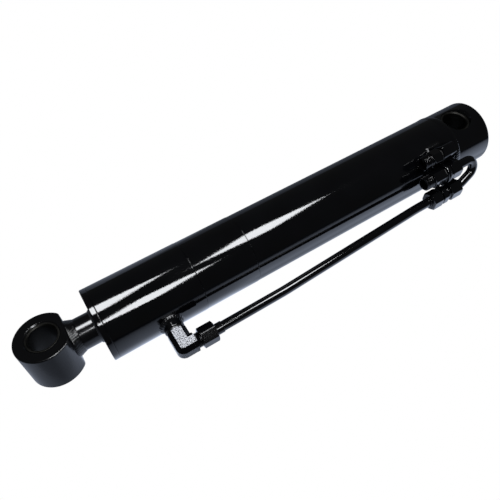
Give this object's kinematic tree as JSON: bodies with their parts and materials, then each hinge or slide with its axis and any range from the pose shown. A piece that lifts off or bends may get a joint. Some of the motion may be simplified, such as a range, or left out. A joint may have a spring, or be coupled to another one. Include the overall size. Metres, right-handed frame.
{
  "type": "hydraulic cylinder",
  "caption": "Welded double-acting hydraulic cylinder with a cross-drilled base boss, a sliding rod with a welded pin eye, and a steel line along the barrel to paired hose ports.",
  "frame": {"origin": "centre of the base pin bore, on the barrel axis", "axes": "+X along the rod from the base to the rod eye, +Y towards the rod-end port and the steel line, +Z along the base pin"},
  "size_m": [0.6589, 0.1328, 0.1041],
  "materials": {
    "black_paint": "gloss black enamel over steel",
    "chrome_rod": "ground hard chrome",
    "bush_steel": "turned hardened steel",
    "bare_steel": "machined, oiled",
    "washer_steel": "zinc plated, painted over",
    "piston_iron": "turned ductile iron",
    "nitrile_rubber": "smooth moulded",
    "polyurethane_seal": "satin polyurethane",
    "bronze_ptfe": "bronze-filled PTFE",
    "nylon_bearing": "glass-filled nylon",
    "ptfe_backup": "PTFE"
  },
  "bodies": {
    "barrel": {"barrel_tube": "black_paint", "base_boss": "black_paint", "base_pin_bush": "bush_steel", "base_port_adapter": "black_paint", "base_port_block": "black_paint", "base_port_washer": "washer_steel", "base_port_weld": "black_paint", "base_weld_bead": "black_paint", "bulkhead_locknut": "black_paint", "bulkhead_tube_nut": "black_paint", "bulkhead_tube_sleeve": "black_paint", "bulkhead_union": "black_paint", "elbow_tube_nut": "black_paint", "elbow_tube_sleeve": "black_paint", "gland_backup_ring": "ptfe_backup", "gland_o_ring": "nitrile_rubber", "head_gland": "black_paint", "line_bracket": "black_paint", "line_tube": "black_paint", "rod_buffer_seal": "polyurethane_seal", "rod_port_boss": "black_paint", "rod_port_elbow": "black_paint", "rod_port_washer": "washer_steel", "rod_port_weld": "black_paint", "rod_seal": "polyurethane_seal", "rod_wear_ring_inner": "nylon_bearing", "rod_wear_ring_outer": "nylon_bearing", "rod_wiper_seal": "polyurethane_seal", "u_bend_tube": "black_paint", "union_body": "black_paint", "union_front_nut": "black_paint", "union_front_sleeve": "black_paint", "union_rear_nut": "black_paint", "union_rear_sleeve": "black_paint"},
    "piston_rings": {"piston_seal": "bronze_ptfe", "piston_seal_energiser": "nitrile_rubber", "piston_wear_ring_front": "nylon_bearing", "piston_wear_ring_rear": "nylon_bearing"},
    "rod": {"piston_rod": "chrome_rod", "rod_eye": "black_paint", "rod_eye_weld": "black_paint", "rod_eye_bush": "bush_steel", "piston": "piston_iron", "piston_static_o_ring": "nitrile_rubber", "piston_lock_nut": "bare_steel"}
  },
  "joints": [
    {"name": "rod_slide", "type": "slide", "parent": "barrel", "child": "piston_rings", "axis": [1, 0, 0], "range_m": [0, 0.3556]},
    {"name": "rod_turn", "type": "hinge", "parent": "piston_rings", "child": "rod", "pos_m": [0.5923, 0, 0], "axis": [1, 0, 0], "continuous": true}
  ]
}
